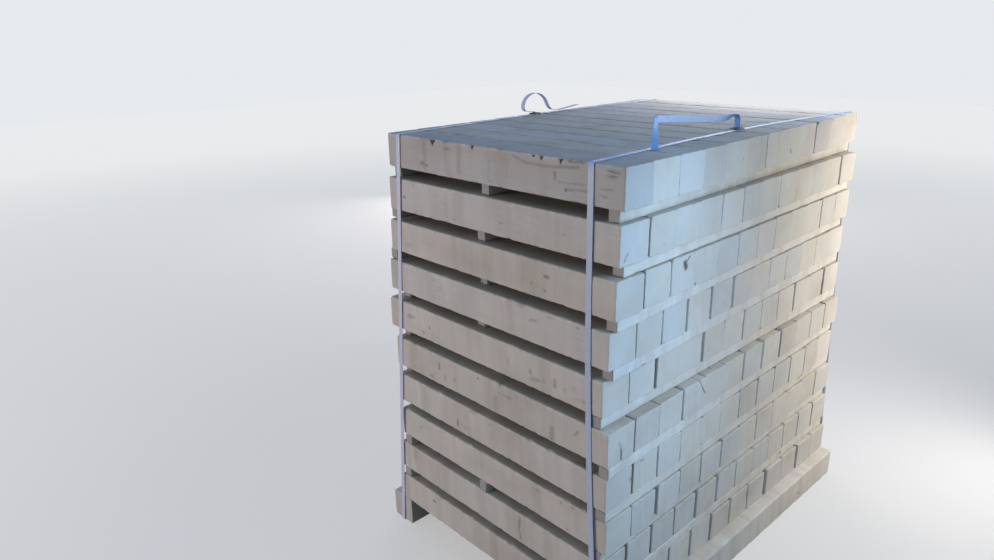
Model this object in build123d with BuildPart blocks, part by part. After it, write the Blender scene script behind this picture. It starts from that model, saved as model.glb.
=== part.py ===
"""Strapped stack of short sawn beams, layered on spacers and standing on two bearers.

Millimetres. X runs along the beams, Y across the stack and Z up. The origin is on the floor, in
the middle of the stack's box. Layers, gaps and lists of offsets count from the bottom upwards.
"""
from build123d import *
from math import asin, degrees
import os

# Beams
piece_length = 800.0
piece_width = 100.0
piece_height = 90.0
piece_ease = 2.0
pieces_across = 12
layer_count = 10

# Joints between neighbouring beams: t tight, o open, w wide
joint_gaps = {"t": 1.0, "o": 8.0, "w": 14.0}
joint_patterns = [
    "tttototwtot",
    "ootootttttt",
    "twttotttttt",
    "otttttoottt",
    "ttottoootto",
    "tototttttto",
    "toowotttttt",
    "oottotottot",
    "otttottttto",
    "tttotottoto",
]

# How far each layer stands off its nominal place, at its front beam and at its back beam
front_shifts = [-6, -3, 7, 6, 8, -14, 0, 14, 18, 26]
back_shifts = [2, -8, -10, -14, -12, -24, -28, -26, -19, -29]
front_recesses = [1, 2, 5, 1, 0, 1, 0, 0, 2, 0]
end_scatter = (0, 1, -1, 0.5, -1.5, 1.5, -0.5)

# Spacers
spacer_width = 30.0
spacer_height = 30.0
spacer_back_recess = 4.0
spacer_front_recesses = {
    "left": [3, 3, 34, 30, 30, 34, 10, 20, 22],
    "middle": [40, 1, 40, 42, 42, 34, 36, 22, 18],
    "right": [3, 5, 4, 3, 4, 19, 15, 31, 14],
}
spacer_front_shifts = {
    "left": [5, 18, 8, 6, 10, 14, -6, -4, 20],
    "middle": [-15, -22, -5, -8, 6, -49, -36, -27, -4],
    "right": [-1, -7, 3, 9, -19, -1, 8, 7, 4],
}
spacer_back_shifts = {
    "left": [30, 12, 26, 8, 34, 22, 10, 18, 28],
    "middle": [5, -12, 14, -20, -6, 10, -15, 8, -4],
    "right": [-13, -20, -20, -25, -28, -36, -40, -35, -48],
}

# Bearers
bearer_width = 90.0
bearer_height = 90.0
bearer_ease = 2.5
bearer_recess = 2.0
bearer_overhang = 50.0
load_offset = 13.5

# Straps: how far inside the beams' nominal ends each crosses the stack's top
strap_width = 16.0
strap_thickness = 1.0
strap_bend = 2.0
strap_front_insets = {"left": 76.0, "right": 61.0}
strap_buckle_insets = {"left": 17.0, "right": 106.0}
strap_back_insets = {"left": 12.0, "right": 61.0}
strap_slack_height = 720.0
strap_slack_inset = 57.5

# Buckles, bent from round wire, and how far behind the front of the stack they lie
wire_diameter = 3.2
wire_sides = 10
buckle_length = 36.0
buckle_side_clearance = 3.0
buckle_corner = 5.0
buckle_slot = 8.0
buckle_clearance = 0.2
buckle_depths = {"left": 584.0, "right": 648.0}

# The left strap's free end, curled up in a loop: (back, up) from the strap under the buckle
loop_points = [(0, 0), (0, 9), (-56, 9), (-52, 50), (2, 67), (52, 44), (68, 7), (120, 6), (205, 15)]
loop_radii = [4, 6, 30, 50, 30, 10, 40]

# The right strap's free end, led forward and turned on edge, then folded down beside the strap.
# Each stop is (sideways, forward, up) from the strap, the way it runs and the way its width lies.
tail_run = [
    ((0, 0, 0), (0, 0, 1), (1, 0, 0)),
    ((0, 0, 24), (0, 0, 1), (1, 0, 0)),
    ((0, 5, 33), (0, -1, 1), (1, 0, 0)),
    ((0, 16, 37), (0, -1, 0), (4, 0, 3)),
    ((0, 80, 33), (0, -1, 0), (0, 0, 1)),
    ((0, 230, 48), (0, -1, 0), (0, 0, 1)),
    ((0, 417, 64), (0, -1, 0), (0, 0, 1)),
]
tail_fall = [
    ((0.8, 409, 72), (0, 0, -1), (0, 1, 0)),
    ((0.8, 410, 50), (0, 0, -1), (0, 1, 0)),
    ((7, 421, 20), (1, -2, -6), (1, 3, 0)),
    ((14, 429, 3), (1, -1, -2), (1, 1, 0)),
    ((17, 432, 1), (1, -1, -1), (1, 1, 0)),
    ((23, 438, 0), (1, -1, 0), (1, 1, 0)),
]


def joint_gap(layer, joint):
    """The gap on the far side of beam number joint of a layer."""
    pattern = joint_patterns[layer % len(joint_patterns)]
    return joint_gaps[pattern[joint % len(pattern)]]


def layer_depth(layer):
    """A layer's size across the stack, gaps included."""
    gaps = sum(joint_gap(layer, joint) for joint in range(pieces_across - 1))
    return pieces_across * piece_width + gaps


def blend(start, end, share):
    """The value a share of the way from start to end."""
    return start + (end - start) * share


def step_of(values, index):
    """An entry of a list that repeats past its end."""
    return values[index % len(values)]


# Places that follow from the sizes
stack_depth = max(step_of(front_recesses, layer) + layer_depth(layer) for layer in range(layer_count))
front_y = -stack_depth / 2
back_y = stack_depth / 2
layer_pitch = piece_height + spacer_height
bearer_bottom = strap_thickness
stack_bottom = bearer_bottom + bearer_height
stack_top = stack_bottom + layer_count * layer_pitch - spacer_height
bearer_outer_x = piece_length / 2 + bearer_overhang
bearer_x = bearer_outer_x - bearer_width / 2

os.makedirs("parts", exist_ok=True)


def save(block, label):
    """Name a finished piece and write its file."""
    block.part.label = label
    export_step(block.part, f"parts/{label}.step")


# Layers of beams, each beam a separate solid with its long edges eased
for layer in range(layer_count):
    layer_bottom = stack_bottom + layer * layer_pitch
    beam_front = front_y + step_of(front_recesses, layer)
    with BuildPart() as beams:
        for piece in range(pieces_across):
            share = (beam_front - front_y) / (stack_depth - piece_width)
            shift = blend(step_of(front_shifts, layer), step_of(back_shifts, layer), share)
            shift += step_of(end_scatter, (1 + layer % (len(end_scatter) - 1)) * piece)
            beam_start = load_offset + shift - piece_length / 2
            with BuildSketch(Plane.YZ.offset(beam_start)):
                with Locations((beam_front + piece_width / 2, layer_bottom + piece_height / 2)):
                    section = Rectangle(piece_width, piece_height)
                chamfer(section.vertices(), piece_ease)
            extrude(amount=piece_length)
            beam_front += piece_width + joint_gap(layer, piece)
    save(beams, f"beam_layer_{layer + 1:02d}")

# Spacers, three laths across the stack in each gap, each lying a little askew
spacer_back = back_y - spacer_back_recess
spacer_reach = (piece_length - spacer_width) / 2
spacer_places = {"left": -spacer_reach, "middle": 0.0, "right": spacer_reach}
for gap in range(layer_count - 1):
    gap_bottom = stack_bottom + gap * layer_pitch + piece_height
    for side, place in spacer_places.items():
        front_x = load_offset + place + step_of(spacer_front_shifts[side], gap)
        back_x = load_offset + place + step_of(spacer_back_shifts[side], gap)
        spacer_front = front_y + step_of(spacer_front_recesses[side], gap)
        spacer_length = spacer_back - spacer_front
        skew = -degrees(asin((back_x - front_x) / spacer_length))
        with BuildPart() as spacer:
            with BuildSketch(Plane.XY.offset(gap_bottom)):
                with Locations(((front_x + back_x) / 2, (spacer_front + spacer_back) / 2)):
                    Rectangle(spacer_width, spacer_length, rotation=skew)
            extrude(amount=spacer_height)
        save(spacer, f"spacer_{gap + 1:02d}_{side}")

# Bearers under the two ends of the stack
for side, centre in (("left", -bearer_x), ("right", bearer_x)):
    with BuildPart() as bearer:
        with BuildSketch(Plane.XY.offset(bearer_bottom)):
            with Locations((centre, 0)):
                Rectangle(bearer_width, stack_depth - 2 * bearer_recess)
        extrude(amount=bearer_height)
        chamfer(bearer.edges(), bearer_ease)
    save(bearer, f"bearer_{side}")

# Places along the straps
load_ends = {"left": load_offset - piece_length / 2, "right": load_offset + piece_length / 2}
inward = {"left": 1, "right": -1}
bearer_centres = {"left": -bearer_x, "right": bearer_x}
bend_tab = 2 * strap_bend + strap_thickness


def inset_x(side, inset):
    """The X of a point that lies inside a nominal end of the beams."""
    return load_ends[side] + inward[side] * inset


def strip(route):
    """Outline of a flat run of strap: its middle goes through (x, along) points, in order.

    The run is straight across its bends, so that it meets the next run on one line.
    """
    (first_x, first), (last_x, last) = route[0], route[-1]
    middle = [(first_x, first), (first_x, first + bend_tab)]
    middle += route[1:-1]
    middle += [(last_x, last - bend_tab), (last_x, last)]
    one_edge = [(x - strap_width / 2, along) for x, along in middle]
    other_edge = [(x + strap_width / 2, along) for x, along in reversed(middle)]
    return one_edge + other_edge


buckle_half_width = strap_width / 2 + buckle_side_clearance + wire_diameter / 2
buckle_half_length = buckle_length / 2 - wire_diameter / 2
strap_over_top = stack_top + strap_thickness
strap_middle_z = stack_top + strap_thickness / 2
buckle_z = strap_over_top + buckle_clearance + wire_diameter / 2
bar_reach = (buckle_slot + wire_diameter) / 2

for side in ("left", "right"):
    bottom_x = bearer_centres[side]
    front_x = inset_x(side, strap_front_insets[side])
    buckle_x = inset_x(side, strap_buckle_insets[side])
    back_x = inset_x(side, strap_back_insets[side])
    buckle_y = front_y + buckle_depths[side]
    strap_front = front_y - strap_thickness
    strap_back = back_y + strap_thickness

    # Strap: a flat ring round the load, slanting down to the bearer's middle at each face
    front_route = [(bottom_x, 0), (front_x, strap_over_top)]
    if side == "right":
        front_route.insert(1, (inset_x(side, strap_slack_inset), strap_slack_height))
    back_route = [(bottom_x, 0), (back_x, strap_over_top)]
    top_route = [(front_x, strap_front), (buckle_x, buckle_y), (back_x, strap_back)]
    bottom_route = [(bottom_x, strap_front), (bottom_x, strap_back)]
    with BuildPart() as strap:
        with BuildSketch(Plane.XZ.offset(-front_y)):
            Polygon(*strip(front_route), align=None)
        extrude(amount=strap_thickness)
        with BuildSketch(Plane.XZ.offset(-back_y)):
            Polygon(*strip(back_route), align=None)
        extrude(amount=-strap_thickness)
        with BuildSketch(Plane.XY.offset(stack_top)):
            Polygon(*strip(top_route), align=None)
        extrude(amount=strap_thickness)
        with BuildSketch(Plane.XY):
            Polygon(*strip(bottom_route), align=None)
        extrude(amount=strap_thickness)
        corners = strap.edges().filter_by(Axis.X)
        fillet(corners.filter_by(lambda edge: abs(edge.center().Y) > strap_back - 0.1 * strap_thickness),
               strap_bend + strap_thickness)
        corners = strap.edges().filter_by(Axis.X)
        fillet(corners.filter_by(lambda edge: abs(abs(edge.center().Y) - back_y) < 0.1 * strap_thickness),
               strap_bend)

        if side == "left":
            with BuildSketch(Plane.YZ.offset(buckle_x - strap_width / 2)):
                with BuildLine():
                    FilletPolyline([(buckle_y + back, strap_middle_z + up) for back, up in loop_points],
                                   radius=loop_radii)
                trace(line_width=strap_thickness)
            extrude(amount=strap_width)
        else:
            for stops in (tail_run, tail_fall):
                for (sideways, forward, up), along, across in stops:
                    stop_x = blend(buckle_x, front_x, forward / buckle_depths[side]) + sideways
                    stop = (stop_x, buckle_y - forward, strap_middle_z + up)
                    with BuildSketch(Plane(origin=stop, x_dir=across, z_dir=along)):
                        Rectangle(strap_width, strap_thickness)
                loft(ruled=True)
    save(strap, f"strap_{side}")

    # Buckle: a rounded frame of wire with two cross bars, lying on the strap
    with BuildPart() as buckle:
        with BuildLine(Plane.XY.offset(buckle_z)) as frame:
            FilletPolyline(
                (buckle_x - buckle_half_width, buckle_y - buckle_half_length),
                (buckle_x + buckle_half_width, buckle_y - buckle_half_length),
                (buckle_x + buckle_half_width, buckle_y + buckle_half_length),
                (buckle_x - buckle_half_width, buckle_y + buckle_half_length),
                radius=buckle_corner,
                close=True,
            )
        wire = frame.wires()[0]
        with BuildSketch(Plane(origin=wire @ 0, z_dir=wire % 0)):
            RegularPolygon(wire_diameter / 2, wire_sides)
        sweep(path=wire)
        with BuildSketch(Plane.YZ.offset(buckle_x - buckle_half_width)):
            with Locations((buckle_y - bar_reach, buckle_z), (buckle_y + bar_reach, buckle_z)):
                RegularPolygon(wire_diameter / 2, wire_sides)
        extrude(amount=2 * buckle_half_width)
    save(buckle, f"buckle_{side}")
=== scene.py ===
"""Strapped stack of short sawn beams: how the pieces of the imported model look."""
import bpy
import math
import numpy as np
from mathutils import Matrix, Vector


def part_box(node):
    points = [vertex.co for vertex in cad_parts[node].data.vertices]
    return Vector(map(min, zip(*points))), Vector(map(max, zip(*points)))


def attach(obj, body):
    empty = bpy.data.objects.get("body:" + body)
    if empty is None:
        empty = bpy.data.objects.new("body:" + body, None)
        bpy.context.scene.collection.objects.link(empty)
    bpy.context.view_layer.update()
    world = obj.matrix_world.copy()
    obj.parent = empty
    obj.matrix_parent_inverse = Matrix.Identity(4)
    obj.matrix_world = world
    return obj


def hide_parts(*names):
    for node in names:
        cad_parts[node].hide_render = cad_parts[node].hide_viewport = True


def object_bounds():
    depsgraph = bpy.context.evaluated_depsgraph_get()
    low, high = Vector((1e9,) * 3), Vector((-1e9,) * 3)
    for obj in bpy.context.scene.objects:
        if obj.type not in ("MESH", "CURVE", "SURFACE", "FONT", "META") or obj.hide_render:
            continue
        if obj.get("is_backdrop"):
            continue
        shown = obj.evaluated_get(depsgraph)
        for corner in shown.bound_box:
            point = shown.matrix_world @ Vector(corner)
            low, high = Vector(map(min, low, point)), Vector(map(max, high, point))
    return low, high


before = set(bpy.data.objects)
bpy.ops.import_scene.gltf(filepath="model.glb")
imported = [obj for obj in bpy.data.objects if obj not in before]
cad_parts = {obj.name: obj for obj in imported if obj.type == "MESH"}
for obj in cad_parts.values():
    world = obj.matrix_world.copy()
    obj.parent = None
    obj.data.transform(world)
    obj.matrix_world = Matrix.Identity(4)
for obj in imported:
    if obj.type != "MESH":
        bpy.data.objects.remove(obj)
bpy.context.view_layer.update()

# Camera: standing height, a little over the top of the stack, looking down on its near corner
# through a wide lens, held almost level.
camera = bpy.data.objects.new("camera", bpy.data.cameras.new("camera"))
bpy.context.scene.collection.objects.link(camera)
bpy.context.scene.camera = camera
camera.data.sensor_width = 36.0
camera.data.lens = 26.42
camera.matrix_world = (
    Matrix.Translation((1.2987, -1.7663, 1.5141))
    @ Matrix.Rotation(math.radians(47.15), 4, "Z")
    @ Matrix.Rotation(math.radians(90 - 18.79), 4, "X")
    @ Matrix.Rotation(math.radians(-0.98), 4, "Z")
)

# Soft light: an even, cool surround, shown as pale grey, a cool panel beyond the near beam ends, a
# warm one beyond the far ends, a small warm one over the far edge of the top, large warm ones in
# front and behind, and a weak cool one high over the top.
view = bpy.context.scene.view_settings
view.view_transform = "Standard"
world = bpy.data.worlds.new("surround")
bpy.context.scene.world = world
world.use_nodes = True
surround = world.node_tree.nodes["Background"]
seen = world.node_tree.nodes.new("ShaderNodeLightPath")
shown = world.node_tree.nodes.new("ShaderNodeMath")
shown.operation = "MAXIMUM"
cool_fill, pale_grey = (0.148, 0.240, 0.305, 1), (0.80, 0.825, 0.85, 1)
surround_colour = world.node_tree.nodes.new("ShaderNodeMix")
surround_colour.data_type = "RGBA"
surround_colour.inputs[6].default_value = cool_fill
surround_colour.inputs[7].default_value = pale_grey
world.node_tree.links.new(seen.outputs["Is Camera Ray"], shown.inputs[0])
world.node_tree.links.new(seen.outputs["Is Glossy Ray"], shown.inputs[1])
world.node_tree.links.new(shown.outputs[0], surround_colour.inputs[0])
world.node_tree.links.new(surround_colour.outputs[2], surround.inputs["Color"])


def light_panel(name, place, aim, width, height, power, colour):
    """A flat lamp of some width and height at place that faces aim."""
    lamp = bpy.data.objects.new(name, bpy.data.lights.new(name, "AREA"))
    lamp.data.shape, lamp.data.size, lamp.data.size_y = "RECTANGLE", width, height
    lamp.data.energy, lamp.data.color = power, colour
    lamp.visible_camera = False
    turned = (Vector(aim) - Vector(place)).to_track_quat("-Z", "Y").to_matrix().to_4x4()
    lamp.matrix_world = Matrix.Translation(place) @ turned
    bpy.context.scene.collection.objects.link(lamp)


light_panel("panel_near_ends", (0.88, -0.47, 0.90), (0.4, -0.5, 0.80), 0.28, 1.15, 4.3, (0.37, 0.63, 1.0))
light_panel("panel_far_ends", (0.98, 1.08, 0.86), (0.42, 0.5, 0.55), 0.45, 1.15, 14.6, (1.0, 0.94, 0.86))
light_panel("panel_far_top", (0.05, 0.72, 1.50), (0.02, 0.5, 1.26), 1.1, 0.2, 3.2, (1.0, 0.95, 0.90))
light_panel("panel_front", (-1.7, -4.3, 1.1), (0.0, 0.0, 0.6), 3.0, 2.1, 86, (1.0, 0.89, 0.93))
light_panel("panel_back", (-3.4, 3.4, 1.1), (0.0, 0.0, 0.6), 3.0, 2.1, 80, (1.0, 0.88, 0.90))
light_panel("panel_top", (-0.6, 0.8, 4.6), (0.0, 0.0, 1.0), 3.0, 3.0, 24, (0.16, 0.28, 1.0))


# Floor: a plain pale sheet that takes the stack's shadow. To the camera it glows a little as well,
# more with distance, so that its far edge meets the pale surround.
def mesh_of(name, points, faces):
    """A smooth mesh object at the origin, of points and a list of arrays of point numbers."""
    mesh = bpy.data.meshes.new(name)
    counts = np.concatenate([np.full(len(f), f.shape[1]) for f in faces])
    corners = np.concatenate([f.ravel() for f in faces]).astype(np.int32)
    mesh.vertices.add(len(points))
    mesh.vertices.foreach_set("co", np.asarray(points, np.float32).ravel())
    mesh.loops.add(len(corners))
    mesh.loops.foreach_set("vertex_index", corners)
    mesh.polygons.add(len(counts))
    starts = np.concatenate([[0], np.cumsum(counts)[:-1]]).astype(np.int32)
    mesh.polygons.foreach_set("loop_start", starts)
    mesh.polygons.foreach_set("use_smooth", np.ones(len(counts), bool))
    mesh.update(calc_edges=True)
    mesh.validate()
    piece = bpy.data.objects.new(name, mesh)
    bpy.context.scene.collection.objects.link(piece)
    return piece


def finish_named(name):
    """A new material with its node tree and its main shader."""
    finish = bpy.data.materials.new(name)
    finish.use_nodes = True
    return finish, finish.node_tree, finish.node_tree.nodes["Principled BSDF"]


def put(tree, kind, *values, out=0, **settings):
    """Adds a node, sets its settings, fills its inputs in order and gives one of its outputs."""
    node = tree.nodes.new(kind)
    for key, value in settings.items():
        setattr(node, key, value)
    for socket, value in zip(node.inputs, values):
        if isinstance(value, bpy.types.NodeSocket):
            tree.links.new(value, socket)
        elif value is not None:
            socket.default_value = value
    return node.outputs[out]


def ranged(tree, value, low, high, at_low, at_high):
    """A value carried from between low and high to between two others, and held there."""
    return put(tree, "ShaderNodeMapRange", value, low, high, at_low, at_high)


floor_width = 30.0
floor_greys, share_off_camera = (0.27, 0.30), 0.8
near_edge, far_edge, glow_near, glow_far = 1.5, 9.0, 0.43, 0.72
side = np.array([-0.5, 0.5]) * floor_width
floor = mesh_of("floor", [(x, y, 0.0) for y in side for x in side], [np.array([[0, 1, 3, 2]])])
floor_finish, tree, shader = finish_named("floor_pale")
here = put(tree, "ShaderNodeTexCoord", out=3)
mottle = put(tree, "ShaderNodeTexNoise", here, None, 1.3, 3.0)
seen = put(tree, "ShaderNodeLightPath")
shade = ranged(tree, mottle, 0.0, 1.0, *floor_greys)
shade = put(tree, "ShaderNodeMath", shade, ranged(tree, seen, 0.0, 1.0, share_off_camera, 1.0),
            operation="MULTIPLY")
tree.links.new(put(tree, "ShaderNodeCombineColor", shade, shade, shade), shader.inputs["Base Color"])
away = put(tree, "ShaderNodeVectorMath", here, operation="LENGTH", out=1)
glow = put(tree, "ShaderNodeMath", seen, ranged(tree, away, near_edge, far_edge, glow_near, glow_far),
           operation="MULTIPLY")
tree.links.new(glow, shader.inputs["Emission Strength"])
shader.inputs["Emission Color"].default_value = (1.0, 0.99, 0.985, 1)
shader.inputs["Roughness"].default_value = 0.9
floor.data.materials.append(floor_finish)
floor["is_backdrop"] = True


# Beams: short lengths of fresh softwood, 100 by 90 mm, ripped by a band saw and cut off together,
# stacked ten layers high. The long faces keep the blade's marks, and the arrises are torn and furry.
def waver(u, v, seed, across=1.0, down=1.0):
    """Smooth unevenness from 0 to 1: a seeded table of random heights, looked up at u / across
    and v / down and eased between its entries."""
    rows, columns = 61, 59
    table = np.random.default_rng(seed).random((rows, columns))
    u, v = np.broadcast_arrays(np.asarray(u) / across + 7.3, np.asarray(v) / down + 3.1)
    i, j = np.floor(u).astype(int), np.floor(v).astype(int)
    a, b = u - i, v - j
    a, b = a * a * (3 - 2 * a), b * b * (3 - 2 * b)
    pick = lambda p, q: table[p % rows, q % columns]
    near = pick(i, j) * (1 - a) + pick(i + 1, j) * a
    far = pick(i, j + 1) * (1 - a) + pick(i + 1, j + 1) * a
    return near * (1 - b) + far * b


def closed_grid(rings, poles):
    """Faces of a surface that is a pole, a stack of closed rings and another pole."""
    rows, around = rings.shape[:2]
    index = np.arange(rows * around).reshape(rows, around)
    after = np.roll(index, -1, axis=1)
    quads = np.stack([index[:-1], after[:-1], after[1:], index[1:]], -1).reshape(-1, 4)
    first, last = rows * around, rows * around + 1
    fans = [np.stack([np.full(around, first), after[0], index[0]], -1),
            np.stack([np.full(around, last), index[-1], after[-1]], -1)]
    return np.concatenate([rings.reshape(-1, 3), poles]), quads, np.concatenate(fans)


# Where points stand across a face, as shares of its width, and the sizes of the rings that close a
# cut end, as shares of the section
close_places = np.array([0.02, 0.05, 0.1, 0.2, 0.32, 0.44, 0.56, 0.68, 0.8, 0.9, 0.95, 0.98])
few_places = np.array([0.06, 0.18, 0.5, 0.82, 0.94])
many_places = np.linspace(0.03, 0.97, 29)
cap_shares = np.array([0.2, 0.5, 0.8, 0.94])


def sawn_block(length, width, height, stations, seed, ease=0.002, wear=1.0, places=close_places,
               front_places=None, nicks=()):
    """A sawn block along the first axis. A ring of points goes round its section, with corners
    eased, and is carried from one end to the other. Each cut end closes with smaller rings round a
    pole. The long faces dip by a fraction of a millimetre, the arrises are worn by an uneven
    amount and chipped where that is deepest, and the cut ends are a little out of square. Nicks
    are (distance, half length, depth) of holes torn from the arris between front and top."""
    rng = np.random.default_rng(seed)
    half, tall = width / 2, height / 2
    t = places * 2 - 1
    t_front = t if front_places is None else front_places * 2 - 1
    right = np.stack([np.full(len(t), half), t * tall], -1)
    top = np.stack([-t * half, np.full(len(t), tall)], -1)
    front = np.stack([np.full(len(t_front), -half), -t_front * tall], -1)
    mid = ease * 0.3
    corner = lambda a, b: np.array([[a * (half - mid), b * (tall - mid)]])
    ring = np.concatenate([corner(1, -1), right, corner(1, 1), top,
                           corner(-1, 1), front, corner(-1, -1), -top])
    from_corner = np.hypot(*(np.array([half, tall]) - np.abs(ring)).T)
    arris_reach, arris_fade = 0.02, 0.004
    near_corner = np.where(from_corner > arris_reach, 0.0, np.exp(-from_corner / arris_fade))
    upper = ring[:, 1] > 0
    which = np.where(ring[:, 0] > 0, np.where(upper, 1, 0), np.where(upper, 2, 3))
    perimeter = np.cumsum(np.hypot(*(ring - np.roll(ring, 1, axis=0)).T))

    share = np.concatenate([cap_shares, np.ones(len(stations)), cap_shares[::-1]])
    along = np.concatenate([np.zeros(len(cap_shares)), stations, np.full(len(cap_shares), length)])
    s, p = along[:, None], perimeter[None, :]

    # Wear of the four arrises: a little all along, fraying every few millimetres, and rare chips.
    # The arris between front and top frays most.
    most_wear, deep_wear = 0.0055, 0.008
    fray = np.where(which == 2, 0.0045, 0.0014)
    worn = 0.0006 * waver(s, which * 7.7, seed + 1, 0.06)
    worn = worn + fray * waver(s, which * 5.3, seed + 7, 0.006) ** 3
    worn = worn + 0.012 * np.clip(waver(s, which * 9.1, seed + 2, 0.03) - 0.8, 0, 1)
    worn = np.minimum(worn * wear, most_wear) * near_corner
    torn = np.zeros_like(worn)
    for distance, reach, depth in nicks:
        away = from_corner + 3 * np.clip(ring[:, 0] + half, 0, None)
        hang = np.clip(1 - away / (depth * 2.1), 0.04, 1)
        hole = np.clip(1 - ((s - distance) / (reach * hang)) ** 2, 0, 1) * (which == 2)
        torn = np.maximum(torn, np.minimum(hole * 2, 1) * (hang > 0.05))
        worn = np.maximum(worn, depth * hole * near_corner)
    dip = 0.0005 * waver(s, p, seed + 3, 0.09, 0.05)
    sign = np.sign(ring)
    section = ring[None] * share[:, None, None]
    inward = sign[None] * (worn + dip * 0.7)[..., None] * share[:, None, None]
    at_face = np.abs(ring[None] / np.array([half, tall])) > 0.93
    section = section - inward * np.where(at_face, 1.0, 0.0)

    # The cut ends: rim eased unevenly, face out of square by under a millimetre
    rim = np.zeros((len(along), 1))
    first, last = len(cap_shares), len(along) - len(cap_shares) - 1
    rim[[first, last]] = 1.0
    rim_depth = 0.0007 + 0.0018 * waver(p, 0.0, seed + 4, 0.009) ** 2
    rim_depth = rim_depth + 0.008 * np.clip(waver(p, 5.0, seed + 5, 0.02) - 0.8, 0, 1)
    section = section * (1 - rim[..., None] * (rim_depth / min(half, tall))[..., None])
    end_depth = 0.0006
    tilt = rng.uniform(-1, 1, 4) * end_depth
    square = section / np.array([half, tall])
    end_dip = end_depth + square[..., 0] * tilt[0] * 0.5 + square[..., 1] * tilt[1] * 0.5
    end_dip = end_dip + 0.0002 * waver(p, s, seed + 6, 0.02)
    pull_reach = 0.012
    pull = np.clip(1 - np.minimum(s, length - s) / pull_reach, 0, 1) * end_dip
    s_all = np.broadcast_to(s, section.shape[:2]) + np.where(s < length / 2, pull, -pull)
    rings = np.concatenate([s_all[..., None], section + np.array([0, tall])], -1)
    poles = np.array([[end_depth, 0, tall], [length - end_depth, 0, tall]])
    points, quads, fans = closed_grid(rings, poles)
    cap = (share < 1).astype(float)
    cap[[first, last]] = 1.0
    edge = np.maximum(near_corner[None] * (1 - cap[:, None]), rim * np.ones_like(p))
    grid = section.shape[:2]
    marks = np.stack([np.broadcast_to(edge, grid), np.broadcast_to(cap[:, None], grid),
                      np.maximum(np.clip(worn / deep_wear, 0, 0.5), torn)], -1).reshape(-1, 3)
    marks = np.concatenate([marks, [[0, 1, 0], [0, 1, 0]]])
    return points, quads, fans, marks


def end_stations(length, middle_step):
    """Distances along a block: close together near the cut ends and middle_step apart between."""
    near = np.array([0.0, 0.0012, 0.004, 0.009, 0.016, 0.025, 0.037, 0.052])
    margin = 0.07
    count = max(2, int(round((length - 2 * margin) / middle_step)) + 1)
    middle = np.linspace(margin, length - margin, count)
    return np.concatenate([near, middle, length - near[::-1]])


def wood_frame(points, seed, pith=None):
    """Places of the points in the log that the block was cut from: X along the log, and Y and Z
    from its pith, which mostly lies outside the block."""
    rng = np.random.default_rng(seed)
    angle = rng.uniform(0, 2 * math.pi)
    away = rng.uniform(0.03, 0.16) if pith is None else pith
    c, s = math.cos(angle), math.sin(angle)
    a, b = points[:, 1], points[:, 2] - points[:, 2].mean()
    return np.stack([points[:, 0] + rng.uniform(0, 40), a * c - b * s + away, a * s + b * c], -1)


def give(mesh, name, values, kind="FLOAT_VECTOR"):
    """Writes one value a vertex into a named attribute."""
    key = {"FLOAT": "value", "FLOAT_COLOR": "color", "FLOAT_VECTOR": "vector"}[kind]
    mesh.attributes.new(name, kind, "POINT").data.foreach_set(key, np.asarray(values, np.float32).ravel())


def joined(parts):
    """Blocks put together as one set of arrays: points, quads, fans, then any number of values."""
    start = np.cumsum([0] + [len(part[0]) for part in parts[:-1]])
    quads = np.concatenate([part[1] + at for part, at in zip(parts, start)])
    fans = np.concatenate([part[2] + at for part, at in zip(parts, start)])
    return [np.concatenate([part[0] for part in parts]), quads, fans] + [
        np.concatenate([part[k] for part in parts]) for k in range(3, len(parts[0]))]


def mixed(tree, share, one, other, how="MIX"):
    """A colour between two others, or the product of both."""
    node = tree.nodes.new("ShaderNodeMix")
    node.data_type, node.blend_type = "RGBA", how
    for socket, value in ((node.inputs[0], share), (node.inputs[6], one), (node.inputs[7], other)):
        if isinstance(value, bpy.types.NodeSocket):
            tree.links.new(value, socket)
        else:
            socket.default_value = value
    return node.outputs[2]


def bumped(tree, shader, height, strength, distance):
    """Gives a shader the fine relief of a height, counted in the distance. Gives the node."""
    bump = put(tree, "ShaderNodeBump", strength, distance)
    tree.links.new(height, bump.node.inputs["Height"])
    tree.links.new(bump, shader.inputs["Normal"])
    return bump.node


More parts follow.
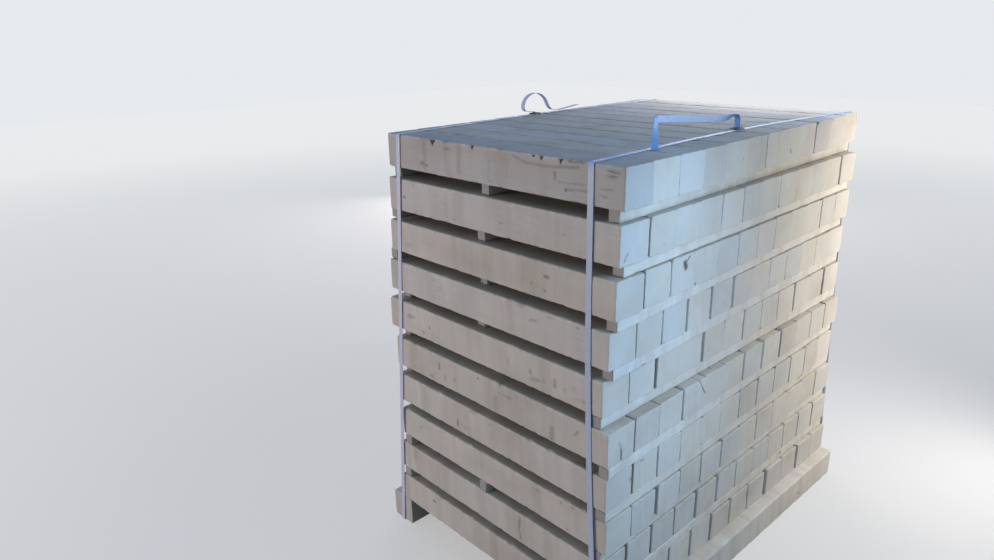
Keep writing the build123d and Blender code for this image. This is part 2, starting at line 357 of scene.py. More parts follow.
def wood_finish(name, late, ring_share, mark_share, dirt_share, rough, end_greying_and_shade=0.0, end_marks=()):
    """Sawn wood. Growth rings are the fraction of the distance from the pith over the ring width,
    fine fibre is noise drawn out along the log, saw marks are noise along one line: the length on
    the long faces and the width on the cut ends. Knots are the insides of scattered balls, and a
    dark mark on a cut end is closeness to a short line, given as (y, z, y, z, reach, strength)."""
    finish, tree, shader = finish_named(name)
    math_node = lambda how, *v: put(tree, "ShaderNodeMath", *v, operation=how)
    by = lambda one, other: math_node("MULTIPLY", one, other)
    plus = lambda one, other: math_node("ADD", one, other)
    less = lambda one, other: math_node("SUBTRACT", one, other)
    span = lambda *v: ranged(tree, *v)
    vector_node = lambda how, *v, out=0: put(tree, "ShaderNodeVectorMath", *v, operation=how, out=out)
    times = lambda v, k: vector_node("MULTIPLY", v, k)
    noise = lambda v, scale=1.0, detail=2.0: put(tree, "ShaderNodeTexNoise", v, None, scale, detail)
    line = lambda v, detail: put(tree, "ShaderNodeTexNoise", None, v, 1.0, detail, noise_dimensions="1D")
    balls = lambda v: put(tree, "ShaderNodeTexVoronoi", v, None, 1.0)
    named = lambda attribute, out: put(tree, "ShaderNodeAttribute", attribute_name=attribute, out=out)
    log, tone, stain = named("log_place", 1), named("tone", 0), named("stain", 2)
    edge, cut, worn = put(tree, "ShaderNodeSeparateXYZ", named("marks", 1)).node.outputs
    whole = less(1.0, cut)
    here = put(tree, "ShaderNodeTexCoord", out=3)
    x, y, z = put(tree, "ShaderNodeSeparateXYZ", here).node.outputs

    # Knots: small balls along the log
    knot_off = plus(balls(times(log, (5.5, 11.0, 11.0))), by(noise(here, 60.0), 0.03))
    knot = by(span(knot_off, 0.05, 0.085, 1.0, 0.0), whole)
    knot_ring = by(span(knot_off, 0.08, 0.24, 1.0, 0.0), whole)

    # Growth rings: each darkens slowly, then ends sharply
    rings_per_metre = 235.0
    bend = by(less(noise(times(log, (1.4, 9, 9))), 0.5), 0.034)
    wobble = by(noise(times(log, (3, 60, 60))), 0.0022)
    radius = plus(plus(vector_node("LENGTH", times(log, (0, 1, 1)), out=1), bend), wobble)
    radius = plus(radius, by(knot_ring, 0.006))
    phase = math_node("FRACT", by(radius, rings_per_metre))
    ring = by(math_node("POWER", phase, 2.6), span(phase, 0.93, 1.0, 1.0, 0.0))
    ring = by(ring, span(noise(times(log, (0.9, 14, 14))), 0.3, 0.7, 0.25, 1.0))
    ring = by(ring, span(cut, 0.0, 1.0, ring_share, 0.8 * ring_share))

    # Fibre, saw marks, broad bands across the face, dirt, warm patches and specks
    fibre = noise(times(log, (20, 950, 950)))
    slant = plus(put(tree, "ShaderNodeSeparateXYZ", log), by(z, 0.06))
    slant = plus(slant, by(noise(here, 7.0), 0.03))
    fine_marks = less(line(by(slant, 210.0), 1.0), 0.5)
    fine_marks = by(fine_marks, span(noise(times(log, (3, 5, 5))), 0.5, 0.62, 0.0, 1.0))
    long_marks = plus(line(by(slant, 27.0), 3.0), by(fine_marks, 1.2))
    cross = plus(plus(plus(y, by(z, 0.10)), x), by(noise(here, 2.0), 0.03))
    cut_marks = line(by(cross, 55.0), 2.5)
    saw = plus(by(cut_marks, cut), by(long_marks, whole))
    bands = noise(put(tree, "ShaderNodeCombineXYZ", slant, y, by(z, 0.12)), 13.0, 3.0)
    broad = noise(here, 5.0, 4.0)
    patch = noise(times(log, (2.2, 16, 16)), 1.0, 3.0)
    smudge = span(noise(times(log, (11, 30, 30)), 1.0, 4.0), 0.66, 0.74, 0.0, 0.55)
    speck = span(balls(times(here, (17, 21, 19))), 0.035, 0.06, 1.0, 0.0)
    speck = by(speck, span(noise(here, 9.0), 0.52, 0.56, 0.0, 1.0))

    # Marks on the cut ends at the high end of X, and not on those at the low end
    no_mark_below, marks_from = 0.36, 0.37
    unrest = put(tree, "ShaderNodeTexNoise", here, None, 190.0, 2.0, out=1)
    unrest = times(vector_node("SUBTRACT", unrest, (0.5, 0.5, 0.5)), (0.0, 0.006, 0.006))
    on_end = times(vector_node("ADD", here, unrest), (0, 1, 1))
    crack = 0.0
    for start_y, start_z, end_y, end_z, reach, strength in end_marks:
        way = np.array([0.0, end_y - start_y, end_z - start_z + 1e-5])
        from_start = vector_node("SUBTRACT", on_end, (0, start_y, start_z))
        share = vector_node("DOT_PRODUCT", from_start, tuple(way / (way @ way)), out=1)
        along = vector_node("SCALE", tuple(way), None, None, span(share, 0.0, 1.0, 0.0, 1.0))
        off = vector_node("DISTANCE", from_start, along, out=1)
        crack = math_node("MAXIMUM", crack, span(off, 0.3 * reach, reach, strength, 0.0))
    crack = by(crack, span(x, no_mark_below, marks_from, 0.0, 1.0))

    # Colour: the tone darkened by rings and fibre, then tints that multiply what lies under them,
    # then the colours that cover it
    fibre_tint = put(tree, "ShaderNodeValToRGB", fibre)
    for stop, place, tint in zip(fibre_tint.node.color_ramp.elements, (0.28, 0.72),
                                 ((0.92, 0.91, 0.90, 1), (1, 1, 1, 1))):
        stop.position, stop.color = place, tint
    colour = mixed(tree, 1.0, mixed(tree, ring, tone, late), fibre_tint, "MULTIPLY")
    marked = by(by(tone.node.outputs[3], mark_share), span(cut, 0.0, 1.0, 1.0, 0.5))
    band_share = by(whole, 0.45)
    for share, tint in (
            (by(span(saw, 0.32, 0.66, 1.0, 0.0), marked), (0.66, 0.64, 0.62, 1)),
            (by(span(broad, 0.46, 0.72, 0.0, 1.0), dirt_share), (0.60, 0.57, 0.55, 1)),
            (by(span(patch, 0.5, 0.72, 0.0, 1.0), 0.36), (0.90, 0.80, 0.68, 1)),
            (by(span(bands, 0.52, 0.60, 0.0, 1.0), band_share), (0.84, 0.79, 0.74, 1)),
            (by(span(bands, 0.44, 0.37, 0.0, 1.0), band_share), (1.10, 1.08, 1.05, 1)),
            (by(smudge, whole), (0.50, 0.44, 0.40, 1))):
        colour = mixed(tree, share, colour, mixed(tree, 1.0, colour, tint, "MULTIPLY"))
    knot_fill = mixed(tree, span(knot_off, 0.02, 0.09, 0.0, 1.0),
                      (0.30, 0.19, 0.11, 1), (0.17, 0.10, 0.06, 1))
    # The dark cover on the cut ends is the bearers' own greying, and painted shade on the laths' ends
    for share, cover in (
            (by(edge, span(noise(here, 70.0, 4.0), 0.45, 0.65, 0.0, 0.4)), (0.86, 0.82, 0.75, 1)),
            (by(cut, end_greying_and_shade), (0.12, 0.115, 0.115, 1)),
            (span(worn, 0.1, 0.5, 0.0, 0.35), (0.42, 0.35, 0.28, 1)),
            (span(worn, 0.6, 0.9, 0.0, 0.9), (0.05, 0.04, 0.035, 1)),
            (by(knot, 0.7), knot_fill),
            (by(speck, 0.6), (0.16, 0.12, 0.09, 1)),
            (by(stain, span(noise(here, 240.0, 3.0), 0.3, 0.55, 0.55, 1.0)), (0.085, 0.062, 0.048, 1)),
            (crack, (0.045, 0.035, 0.03, 1))):
        colour = mixed(tree, share, colour, cover)
    tree.links.new(colour, shader.inputs["Base Color"])

    fur = by(noise(here, 420.0, 3.0), plus(0.25, edge))
    height = plus(plus(by(saw, 0.6), by(fibre, 0.3)), fur)
    height = less(height, by(crack, 4.0))
    bump = bumped(tree, shader, height, 0.55, 0.0006)
    # Lifted fibre is softer than the faces: the relief is smoothed more where it is high
    tree.links.new(height, bump.inputs["Filter Width"])
    tree.links.new(span(fibre, 0.3, 0.7, rough + 0.08, rough - 0.04), shader.inputs["Roughness"])
    shader.inputs["Specular IOR Level"].default_value = 0.3
    return finish


tones = np.array([
    (0.615, 0.565, 0.500), (0.645, 0.592, 0.525), (0.585, 0.548, 0.505), (0.655, 0.592, 0.505),
    (0.590, 0.525, 0.455), (0.575, 0.550, 0.520), (0.635, 0.570, 0.480), (0.620, 0.580, 0.530),
])


def solid_points(node):
    """The points of a piece's plain solid."""
    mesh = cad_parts[node].data
    points = np.empty(len(mesh.vertices) * 3, np.float32)
    mesh.vertices.foreach_get("co", points)
    return points.reshape(-1, 3)


def beam_boxes(node):
    """Low and high corners of a layer's beams, from front to back. The faces and the eased edges
    give each beam four Y values of its own, and its ends are the least and greatest X."""
    points = solid_points(node).round(5)
    fronts = np.unique(points[:, 1]).reshape(-1, 4)
    boxes = []
    for front, _, _, back in fronts:
        of_beam = points[(points[:, 1] >= front) & (points[:, 1] <= back)]
        boxes.append((of_beam.min(0), of_beam.max(0)))
    return boxes


# Dark marks on the cut ends: (y, z, y, z) of a short line, its reach and its strength
end_marks = [
    (-0.356, 1.002, -0.351, 0.990, 0.0105, 0.9), (-0.350, 1.002, -0.337, 1.014, 0.0032, 0.75),
    (-0.593, 1.079, -0.605, 1.063, 0.0025, 0.5),
    (-0.574, 0.603, -0.572, 0.578, 0.0048, 0.75), (-0.581, 0.622, -0.575, 0.604, 0.006, 0.3),
    (-0.246, 0.660, -0.232, 0.637, 0.0026, 0.6),
    (-0.232, 0.637, -0.214, 0.612, 0.0032, 0.7), (0.139, 1.204, 0.147, 1.195, 0.0045, 0.5),
    (-0.486, 0.532, -0.474, 0.530, 0.0032, 0.5),
]
beam_finish = wood_finish(
    "sawn_softwood", (0.42, 0.33, 0.24, 1), ring_share=0.14, mark_share=0.34, dirt_share=0.34, rough=0.8,
    end_marks=end_marks)

# Dark marks on the front faces: (x, z, x, z) of a short line, its reach and its strength
front_marks = np.array([
    (-0.194, 1.193, -0.191, 1.193, 0.0034, 0.9), (-0.218, 1.194, -0.201, 1.194, 0.007, 0.45),
    (-0.201, 1.251, -0.202, 1.184, 0.0125, 0.22), (-0.065, 1.251, -0.066, 1.193, 0.011, 0.22),
    (0.045, 1.230, 0.045, 1.211, 0.005, 0.2), (-0.122, 1.258, -0.110, 1.258, 0.004, 0.5),
    (0.123, 1.250, 0.167, 1.239, 0.004, 0.35), (0.167, 1.239, 0.233, 1.238, 0.004, 0.3),
    (0.239, 1.239, 0.317, 1.247, 0.0045, 0.4), (0.251, 1.227, 0.252, 1.214, 0.0055, 0.5),
    (0.281, 1.194, 0.283, 1.195, 0.0042, 0.95), (0.288, 1.197, 0.340, 1.200, 0.0035, 0.35),
    (0.260, 1.209, 0.340, 1.213, 0.0035, 0.25), (0.396, 1.250, 0.411, 1.247, 0.004, 0.65),
    (0.411, 1.247, 0.426, 1.246, 0.0035, 0.5), (0.399, 1.237, 0.419, 1.239, 0.0036, 0.5),
    (0.377, 1.208, 0.410, 1.212, 0.0035, 0.35), (0.377, 1.196, 0.389, 1.195, 0.0036, 0.55),
    (0.359, 1.195, 0.361, 1.179, 0.0032, 0.35), (0.290, 1.256, 0.331, 1.258, 0.0038, 0.6),
    (-0.300, 1.093, -0.299, 1.090, 0.004, 0.8), (-0.308, 1.081, -0.305, 1.076, 0.0055, 0.5),
    (0.073, 1.087, 0.084, 1.087, 0.0038, 0.45), (0.277, 1.095, 0.278, 1.095, 0.0035, 0.5),
    (0.181, 0.962, 0.181, 0.960, 0.0038, 0.6), (0.223, 0.954, 0.224, 0.953, 0.0038, 0.6),
    (0.190, 0.940, 0.191, 0.937, 0.004, 0.4), (-0.218, 0.736, -0.218, 0.730, 0.0042, 0.8),
    (-0.249, 0.713, -0.245, 0.709, 0.0055, 0.45), (0.177, 0.739, 0.177, 0.727, 0.0045, 0.6),
    (0.256, 0.737, 0.257, 0.721, 0.0065, 0.45), (0.220, 0.727, 0.220, 0.721, 0.0038, 0.4),
    (-0.178, 0.638, -0.180, 0.620, 0.0045, 0.6), (-0.154, 0.607, -0.154, 0.594, 0.004, 0.6),
    (-0.114, 0.614, -0.115, 0.605, 0.0044, 0.45), (-0.017, 0.647, -0.016, 0.646, 0.0042, 0.7),
    (0.066, 0.658, 0.068, 0.656, 0.0045, 0.8), (0.097, 0.738, 0.097, 0.727, 0.0065, 0.22),
    (-0.320, 0.508, -0.320, 0.506, 0.0045, 0.6), (0.053, 0.613, 0.053, 0.584, 0.014, 0.22),
    (0.175, 0.867, 0.198, 0.872, 0.0044, 0.35), (0.236, 0.892, 0.255, 0.895, 0.006, 0.2),
    (0.324, 0.890, 0.325, 0.889, 0.0036, 0.6), (-0.108, 0.485, -0.108, 0.469, 0.0046, 0.7),
    (-0.076, 0.480, -0.076, 0.471, 0.004, 0.3), (0.250, 0.607, 0.250, 0.582, 0.0115, 0.35),
    (0.234, 0.576, 0.234, 0.575, 0.004, 0.6), (0.323, 0.619, 0.332, 0.633, 0.004, 0.5),
    (0.136, 0.290, 0.132, 0.256, 0.004, 0.6), (0.132, 0.256, 0.139, 0.225, 0.004, 0.5),
    (0.278, 0.410, 0.279, 0.408, 0.004, 0.55), (0.315, 0.415, 0.316, 0.411, 0.004, 0.6),
    (0.300, 0.344, 0.301, 0.343, 0.004, 0.6), (-0.322, 0.291, -0.323, 0.265, 0.0105, 0.2),
])


def stain_at(points):
    """How dark the front marks make each point: the strength of a mark, falling to nothing at its
    reach from the line, measured across the front face and bent a little from place to place."""
    bend, wave_length = 0.003, 0.006
    uneven = [waver(points[:, 0], points[:, 2], seed, wave_length, wave_length) for seed in (91, 92)]
    across = points[:, [0, 2]] + bend * (np.stack(uneven, -1) - 0.5)
    start, way = front_marks[:, None, :2], (front_marks[:, 2:4] - front_marks[:, :2])[:, None]
    off = across[None] - start
    share = np.clip((off * way).sum(-1) / ((way ** 2).sum(-1) + 1e-12), 0, 1)
    off = np.linalg.norm(off - share[..., None] * way, axis=-1) / front_marks[:, 4:5]
    return (front_marks[:, 5:] * np.clip((1 - off) / 0.6, 0, 1)).max(0)


# Holes left by bark in the top front arris: distance along it, half length and depth
bark_holes = [(0.194, 0.015, 0.010), (0.345, 0.009, 0.007), (0.548, 0.009, 0.005),
              (0.572, 0.008, 0.008), (0.628, 0.009, 0.008)]
top_layer = 10
front_step, sight_step, hidden_step = 0.004, 0.011, 0.12
least_room, most_room = 0.0007, 0.0019
pith_distances = [0.02, 0.05, 0.08, 0.11]
front_spread, other_spread = 0.4, 0.7
front_top_tint, painted_skylight_tint = (0.86, 0.89, 0.94), (0.79, 0.89, 1.0)
# Painted shade between layers: how much it darkens, and the distances over which it fades out at the open
# sides
shade_between_layers, open_front, open_end, end_ramp, stain_depth = 0.35, 0.06, 0.03, 0.03, 0.012
for layer in range(1, top_layer + 1):
    node = f"beam_layer_{layer:02d}"
    blocks = []
    boxes = beam_boxes(node)
    for number, (low, high) in enumerate(boxes):
        seed = 1000 * layer + 37 * number
        rng = np.random.default_rng(seed)
        length, width, height = (high - low).astype(float)
        at_front, on_top = number == 0, layer == top_layer
        in_sight = on_top or number == len(boxes) - 1
        step = front_step if at_front else sight_step if in_sight else hidden_step
        left_room, right_room = rng.uniform(least_room, most_room, 2)
        points, quads, fans, marks = sawn_block(
            length, width - left_room - right_room, height, end_stations(length, step), seed,
            front_places=many_places if at_front else None,
            nicks=bark_holes if at_front and on_top else ())
        log = wood_frame(points, seed + 9, pith=rng.choice(pith_distances))
        tone = tones[rng.integers(len(tones))] * rng.uniform(0.95, 1.03)
        tone = tones.mean(0) + (tone - tones.mean(0)) * (front_spread if at_front else other_spread)
        if at_front and on_top:
            tone = tone * front_top_tint
        marked = rng.uniform(0.15, 0.6) if layer > 5 else rng.uniform(0.5, 1.0)

        # Painted shade: darker under the layer above, fading out near the open sides; painted skylight,
        # cooler and darker, on top of the stack
        top_face = points[:, 2] > height - 0.001
        covered = (not on_top) & top_face & (np.abs(points[:, 1]) < width / 2 - 0.003)
        inwards = np.clip((points[:, 1] + width / 2) / open_front, 0, 1) if at_front else 1.0
        from_end = np.minimum(points[:, 0], length - points[:, 0])
        inwards = inwards * np.clip((from_end - open_end) / end_ramp, 0, 1)
        shade = 1 - shade_between_layers * covered * inwards
        tone = np.column_stack([tone * shade[:, None], np.full(len(points), marked)])
        # Painted skylight: the top faces of the top layer go cooler and darker
        if on_top:
            tone[top_face, :3] *= painted_skylight_tint
        points = points + np.array([low[0], (low[1] + high[1] + left_room - right_room) / 2, low[2]])
        stain = np.zeros(len(points))
        if at_front:
            stain = stain_at(points) * (points[:, 1] < low[1] + stain_depth)
        blocks.append((points, quads, fans, log, tone, marks, stain))
    points, quads, fans, log, tone, marks, stain = joined(blocks)
    piece = mesh_of(f"beams_{layer:02d}", points, [quads, fans])
    give(piece.data, "log_place", log)
    give(piece.data, "tone", tone, "FLOAT_COLOR")
    give(piece.data, "marks", marks)
    give(piece.data, "stain", stain, "FLOAT")
    piece.data.materials.append(beam_finish)
    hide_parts(node)
    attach(piece, "root")


# Spacers: sawn laths, 30 mm square, laid across the beams in each gap, three to a gap. They lie
# loose, each a little askew, and are held by the weight above.
def lying_along(points, low, high, start_x, end_x):
    """Turns a block about the vertical so that it runs from the front to the back of its box."""
    depth = high[1] - low[1]
    way = np.array([end_x - start_x, depth])
    way = way / np.hypot(*way)
    x = start_x + points[:, 0] * way[0] - points[:, 1] * way[1]
    y = low[1] + points[:, 0] * way[1] + points[:, 1] * way[0]
    return np.stack([x, y, low[2] + points[:, 2]], -1)


# Painted shade: the laths' cut ends, deep in the gaps, are darkened a good deal
spacer_finish = wood_finish(
    "spacer_wood", (0.46, 0.39, 0.31, 1), ring_share=0.14, mark_share=0.2, dirt_share=0.2, rough=0.82,
    end_greying_and_shade=0.5)
# A lath is a little shorter than its box and starts a little inside it
lath_width, lath_play, lath_start = 0.030, 0.0015, 0.0007
lath_common_tone, lath_own_tone = 0.75, 0.36
for node in sorted(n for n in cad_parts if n.startswith("spacer")):
    low, high = (np.array(corner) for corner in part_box(node))
    seed = 50000 + sum(ord(letter) * (i + 3) for i, letter in enumerate(node))
    corners = solid_points(node)
    front, back = corners[corners[:, 1] < 0], corners[corners[:, 1] > 0]
    start_x = (front[:, 0].min() + front[:, 0].max()) / 2
    end_x = (back[:, 0].min() + back[:, 0].max()) / 2
    length = math.hypot(high[1] - low[1], end_x - start_x) - lath_play
    points, quads, fans, marks = sawn_block(
        length, lath_width, high[2] - low[2], end_stations(length, 0.03), seed, wear=0.7,
        places=few_places)
    log = wood_frame(points, seed)
    tone = tones.mean(0) * lath_common_tone + tones[seed % len(tones)] * lath_own_tone
    points = lying_along(points, low + [0, lath_start, 0], high, start_x, end_x)
    piece = mesh_of(node.replace("spacer", "lath"), points, [quads, fans])
    give(piece.data, "log_place", log)
    give(piece.data, "tone", np.broadcast_to(np.append(tone, 1.0), (len(points), 4)), "FLOAT_COLOR")
    give(piece.data, "marks", marks)
    piece.data.materials.append(spacer_finish)
    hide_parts(node)
    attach(piece, "root")


# Bearers: two sawn beams of heavier use under the ends of the stack, with greyed and chipped
# cut ends. The straps pass under their middles.
bearer_finish = wood_finish(
    "bearer_wood", (0.42, 0.35, 0.28, 1), ring_share=0.16, mark_share=0.22, dirt_share=0.3, rough=0.84,
    end_greying_and_shade=0.2)
bearer_tone = (0.70, 0.645, 0.575, 1.0)
for number, node in enumerate(("bearer_left", "bearer_right")):
    low, high = (np.array(corner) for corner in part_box(node))
    seed = 70000 + number
    length, width, height = high[1] - low[1], high[0] - low[0], high[2] - low[2]
    points, quads, fans, marks = sawn_block(
        length, width, height, end_stations(length, 0.010), seed, ease=0.0025, wear=1.5)
    log = wood_frame(points, seed, pith=0.03)
    middle = (low[0] + high[0]) / 2
    points = lying_along(points, low, high, middle, middle)
    piece = mesh_of(node.replace("bearer", "skid"), points, [quads, fans])
    give(piece.data, "log_place", log)
    give(piece.data, "tone", np.broadcast_to(bearer_tone, (len(points), 4)), "FLOAT_COLOR")
    give(piece.data, "marks", marks)
    piece.data.materials.append(bearer_finish)
    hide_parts(node)
    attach(piece, "root")


# Straps: flat bands of polyester cords laid side by side in a clear coating, 16 mm wide, drawn
# tight round the stack and locked in a wire buckle on top. The left one's free end stands in a
# loop, the right one's is turned on edge, led forward and tucked down beside the band.
strap_width, strap_thickness, strap_cords, cord_relief = 0.016, 0.001, 13, 0.00011
sky_from, sky_full = 1.245, 1.262


def band(stops, step):
    """A ribbon through stops of (place, direction of its width). Its middle line and its width
    follow one smooth curve of the second degree, which keeps to the straight between three stops
    in line. The section is flat with a low ridge for each cord. Gives closed rings, with lengths
    along and shares across."""
    place = np.array([stop[0] for stop in stops], float)
    width = np.array([stop[1] for stop in stops], float)
    width /= np.linalg.norm(width, axis=1)[:, None]
    spans = len(stops) - 2
    knots = np.concatenate([[0.0, 0.0], np.arange(spans + 1), [spans, spans]]).astype(float)
    fine = []
    control = np.linalg.norm(np.diff(place, axis=0), axis=1)
    for i in range(spans):
        run = (control[i] + control[i + 1]) / 2
        turn = np.dot(place[i + 1] - place[i], place[i + 2] - place[i + 1])
        straight = turn / (control[i] * control[i + 1] + 1e-12) > 0.9999
        count = max(2 if straight else 4, int(run / step))
        fine.append(i + np.arange(count) / count)
    u = np.concatenate(fine + [[spans]])
    i = np.clip(np.floor(u).astype(int), 0, spans - 1)
    value = []
    for data in (place, width):
        d = [data[i], data[i + 1], data[i + 2]]
        for degree in (1, 2):
            fresh = []
            for j in range(2, degree - 1, -1):
                lo, hi = knots[i + j], knots[i + j + 3 - degree]
                a = ((u - lo) / np.maximum(hi - lo, 1e-12))[:, None]
                fresh.insert(0, (1 - a) * d[j - 1] + a * d[j])
            d[degree:] = fresh
        value.append(d[2])
    middle, across = value
    along = np.gradient(middle, axis=0)
    along /= np.linalg.norm(along, axis=1)[:, None]
    across -= along * (across * along).sum(1)[:, None]
    across /= np.linalg.norm(across, axis=1)[:, None]
    up = np.cross(along, across)
    share = np.linspace(-1, 1, 4 * strap_cords + 1)
    ridge = cord_relief * (np.abs(np.cos(share * math.pi * strap_cords / 2)) - 1)
    edge = 1 - 0.55 * np.clip((np.abs(share) - 0.93) / 0.07, 0, 1) ** 2
    thick = (strap_thickness / 2 + ridge) * edge
    flat = np.concatenate([share, share[::-1]]) * strap_width / 2
    lift = np.concatenate([thick, -thick[::-1]])
    rings = middle[:, None] + across[:, None] * flat[:, None] + up[:, None] * lift[:, None]
    reach = np.concatenate([[0], np.cumsum(np.linalg.norm(np.diff(middle, axis=0), axis=1))])
    return rings, reach, np.concatenate([share, share[::-1]])


def ribbon_mesh(name, bands):
    """One mesh of closed ribbons, with a map of metres along and metres across for the weave."""
    parts = []
    for rings, reach, share in bands:
        poles = np.array([rings[0].mean(0), rings[-1].mean(0)])
        points, quads, fans = closed_grid(rings, poles)
        laid = np.stack([np.broadcast_to(reach[:, None], rings.shape[:2]),
                         np.broadcast_to(share[None] * strap_width / 2, rings.shape[:2]),
                         np.zeros(rings.shape[:2])], -1).reshape(-1, 3)
        parts.append((points, quads, fans, np.concatenate([laid, [[0, 0, 0], [reach[-1], 0, 0]]])))
    points, quads, fans, laid = joined(parts)
    piece = mesh_of(name, points, [quads, fans])
    give(piece.data, "laid", laid)
    return piece


def strap_finish(name, cords, painted_sky_tint):
    """Corded band: pale cords with a thin darker groove between each two, and a slight sheen. Where
    it lies on the top or stands above it, open to the sky, its colour is multiplied by a painted
    skylight tint, the last colour given: not at all up to the height sky_from, and fully from sky_full."""
    finish, tree, shader = finish_named(name)
    math_node = lambda how, *v: put(tree, "ShaderNodeMath", *v, operation=how)
    span = lambda *v: ranged(tree, *v)
    laid = put(tree, "ShaderNodeAttribute", attribute_name="laid", out=1)
    here = put(tree, "ShaderNodeTexCoord", out=3)
    off_middle = put(tree, "ShaderNodeSeparateXYZ", laid).node.outputs[1]
    height = put(tree, "ShaderNodeSeparateXYZ", here).node.outputs[2]
    wave = math_node("COSINE", math_node("MULTIPLY", off_middle, math.pi * strap_cords / strap_width))
    wave = math_node("ABSOLUTE", wave)
    drawn = put(tree, "ShaderNodeVectorMath", laid, (55, 900, 1), operation="MULTIPLY")
    yarn = put(tree, "ShaderNodeTexNoise", drawn, None, 1.0, 3.0)
    soil = put(tree, "ShaderNodeTexNoise", here, None, 7.0, 3.0)
    colour = mixed(tree, span(wave, 0.0, 0.45, 0.0, 1.0), (0.32, 0.36, 0.46, 1), cords)
    colour = mixed(tree, span(yarn, 0.35, 0.65, 0.0, 0.3), colour, (0.76, 0.80, 0.90, 1))
    colour = mixed(tree, span(soil, 0.5, 0.75, 0.0, 0.3), colour, (0.55, 0.55, 0.58, 1))
    # Painted skylight: the colour goes cooler where the band lies open on top
    colour = mixed(tree, span(height, sky_from, sky_full, 0.0, 1.0), colour,
                   mixed(tree, 1.0, colour, painted_sky_tint, "MULTIPLY"))
    tree.links.new(colour, shader.inputs["Base Color"])
    bumped(tree, shader, math_node("ADD", wave, math_node("MULTIPLY", yarn, 0.4)), 0.5, 0.0003)
    tree.links.new(span(yarn, 0.3, 0.7, 0.5, 0.36), shader.inputs["Roughness"])
    shader.inputs["Specular IOR Level"].default_value = 0.45
    return finish


# The middle of a band's thickness: off the middle of the stack, over it and under it, and the
# distance from a corner at which the band starts to turn
face, over, under, turn_room = 0.6235, 1.2615, 0.0005, 0.0035


def ring_stops(bottom_x, front_x, buckle, back_x, slack=None):
    """Stops round the stack: up the front, over the top by way of the buckle, down the back and
    under the bearer. A pair of stops close to each corner makes a tight bend."""
    places = [(bottom_x, 0.0, under), (bottom_x, -face + turn_room, under), (bottom_x, -face, under),
              (bottom_x, -face, under + turn_room)]
    if slack:
        places += [(slack[0], -face, slack[1])]
    places += [(front_x, -face, over - turn_room), (front_x, -face, over),
               (front_x, -face + turn_room, over), (*buckle, over),
               (back_x, face - turn_room, over), (back_x, face, over), (back_x, face, over - turn_room),
               (bottom_x, face, under + turn_room), (bottom_x, face, under),
               (bottom_x, face - turn_room, under), (bottom_x, 0.0, under)]
    return [(place, (1, 0, 0)) for place in places]


left_x, left_y = -0.3695, -0.039
right_x, right_y, right_front_x = 0.3075, 0.025, 0.3525
left_ring = ring_stops(-0.405, -0.3105, (left_x, left_y), -0.3745)
right_ring = ring_stops(0.405, right_front_x, (right_x, right_y), right_front_x, slack=(0.356, 0.72))

# Free ends. Left: (back from the buckle, up). Right: (sideways, forward, up) and its width's direction.
loop = [(0.0, 0.001), (0.0, 0.0095), (-0.050, 0.0105), (-0.058, 0.030), (-0.040, 0.058), (0.002, 0.069),
        (0.042, 0.052), (0.062, 0.014), (0.088, 0.006), (0.120, 0.006), (0.165, 0.0105), (0.206, 0.0150)]
left_tail = [((left_x, left_y + back, over + up), (1, 0, 0)) for back, up in loop]
tail_run = [((0, 0, 0.001), (1, 0, 0)), ((0, 0, 0.024), (1, 0, 0)), ((0, 0.005, 0.034), (1, 0, 0.1)),
            ((0, 0.018, 0.0375), (4, 0, 3)), ((0, 0.080, 0.033), (0, 0, 1)), ((0, 0.230, 0.048), (0, 0, 1)),
            ((0, 0.320, 0.056), (0, 0, 1)), ((0, 0.416, 0.064), (0, 0, 1))]
tail_fall = [((0.0008, 0.409, 0.0714), (0, 1, 0)), ((0.0008, 0.410, 0.050), (0, 1, 0)),
             ((0.004, 0.416, 0.034), (1, 6, 0)), ((0.008, 0.422, 0.018), (1, 3, 0)),
             ((0.0135, 0.4285, 0.004), (1, 1, 0)), ((0.017, 0.432, 0.0015), (1, 1, 0)),
             ((0.023, 0.438, 0.0012), (1, 1, 0))]
# The right band runs a little sideways from its buckle to the front, and its tail goes with it
buckle_to_front = 0.648
lead = (right_front_x - right_x) / buckle_to_front


def led_forward(stops):
    """Tail stops turned into places: sideways of the band, forward of the buckle, over the band."""
    return [((right_x + forward * lead + side, right_y - forward, over + up), across)
            for (side, forward, up), across in stops]


ring_step, tail_step = 0.022, 0.003
for side, ring, tails, cords, painted_sky_tint in (
        ("left", left_ring, [left_tail], (0.66, 0.645, 0.75, 1), (0.8, 0.92, 1.05, 1)),
        # The right band is the same strap as the left: its darker, bluer cords are painted shade and
        # skylight
        ("right", right_ring, [led_forward(tail_run), led_forward(tail_fall)],
         (0.45, 0.51, 0.64, 1), (0.5, 0.8, 1.15, 1))):
    bands = [band(ring, ring_step)] + [band(tail, tail_step) for tail in tails]
    piece = ribbon_mesh(f"band_{side}", bands)
    piece.data.materials.append(strap_finish(f"strap_weave_{side}", cords, painted_sky_tint))
    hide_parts(f"strap_{side}")
    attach(piece, "root")


# Buckles: one length of round phosphated wire bent into a frame with two cross bars. Strap loops
# from both sides go round the bars and lock under tension.
wire_sides = 12


def wire(path, radius, closed):
    """A round section carried along a path that lies flat, at right angles to it."""
    path = np.asarray(path, float)
    along = (np.roll(path, -1, 0) - np.roll(path, 1, 0)) if closed else np.gradient(path, axis=0)
    along /= np.linalg.norm(along, axis=1)[:, None]
    up = np.broadcast_to([0.0, 0.0, 1.0], path.shape)
    out = np.cross(along, up)
    turn = np.linspace(0, 2 * math.pi, wire_sides, endpoint=False)[:, None]
    rings = path[:, None] + radius * (out[:, None] * np.cos(turn) + up[:, None] * np.sin(turn))
    if closed:
        index = np.arange(rings.shape[0] * wire_sides).reshape(-1, wire_sides)
        after = np.roll(index, -1, 0)
        quads = np.stack([index, after, np.roll(after, -1, 1), np.roll(index, -1, 1)], -1).reshape(-1, 4)
        return rings.reshape(-1, 3), quads, np.zeros((0, 3), int)
    points, quads, fans = closed_grid(rings, path[[0, -1]])
    return points, quads[:, ::-1], fans[:, ::-1]


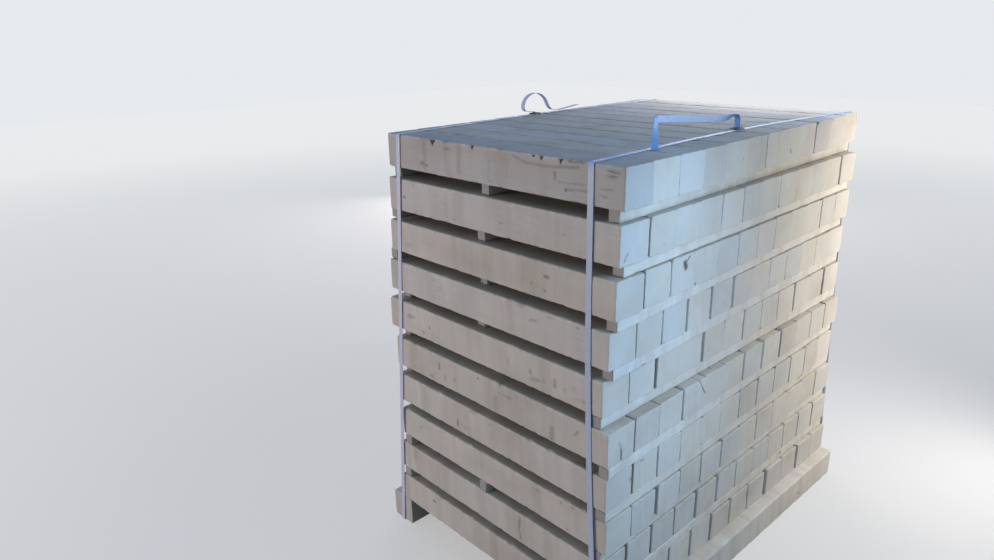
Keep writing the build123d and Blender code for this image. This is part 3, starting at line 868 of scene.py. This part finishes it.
def buckle_finish():
    """Dark phosphated steel wire: near black, mottled, with worn brighter grey patches."""
    finish, tree, shader = finish_named("buckle_wire")
    here = put(tree, "ShaderNodeTexCoord", out=3)
    mottle = put(tree, "ShaderNodeTexNoise", here, None, 260.0, 3.0)
    rub = put(tree, "ShaderNodeTexNoise", here, None, 90.0, 2.0)
    colour = mixed(tree, ranged(tree, mottle, 0.35, 0.65, 0.0, 1.0),
                   (0.05, 0.05, 0.055, 1), (0.12, 0.12, 0.13, 1))
    colour = mixed(tree, ranged(tree, rub, 0.55, 0.7, 0.0, 0.6), colour, (0.26, 0.26, 0.28, 1))
    tree.links.new(colour, shader.inputs["Base Color"])
    tree.links.new(ranged(tree, mottle, 0.3, 0.7, 0.5, 0.35), shader.inputs["Roughness"])
    bumped(tree, shader, mottle, 0.3, 0.0002)
    shader.inputs["Metallic"].default_value = 0.7
    return finish


buckle_material = buckle_finish()
wire_radius, buckle_corner, bar_off, corner_steps, bar_steps = 0.0016, 0.005, 0.0056, 7, 12
for side, centre_x, centre_y in (("left", left_x, left_y), ("right", right_x, right_y)):
    low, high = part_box(f"buckle_{side}")
    half_x, half_y = (high.x - low.x) / 2 - wire_radius, (high.y - low.y) / 2 - wire_radius
    middle_z = (low.z + high.z) / 2
    quarter = np.linspace(0, math.pi / 2, corner_steps)
    turn = np.concatenate([quarter + k * math.pi / 2 for k in range(4)])
    corner_x = np.repeat([1, -1, -1, 1], corner_steps) * (half_x - buckle_corner)
    corner_y = np.repeat([1, 1, -1, -1], corner_steps) * (half_y - buckle_corner)
    outline = np.stack([centre_x + corner_x + buckle_corner * np.cos(turn),
                        centre_y + corner_y + buckle_corner * np.sin(turn),
                        np.full(4 * corner_steps, middle_z)], -1)
    wires = [wire(outline, wire_radius, True)]
    for off in (-bar_off, bar_off):
        bar = np.stack([centre_x + np.linspace(-half_x, half_x, bar_steps),
                        np.full(bar_steps, centre_y + off), np.full(bar_steps, middle_z)], -1)
        wires.append(wire(bar, wire_radius, False))
    points, quads, fans = joined(wires)
    piece = mesh_of(f"wire_{side}", points, [quads, fans])
    piece.data.materials.append(buckle_material)
    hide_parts(f"buckle_{side}")
    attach(piece, "root")


low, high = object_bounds()
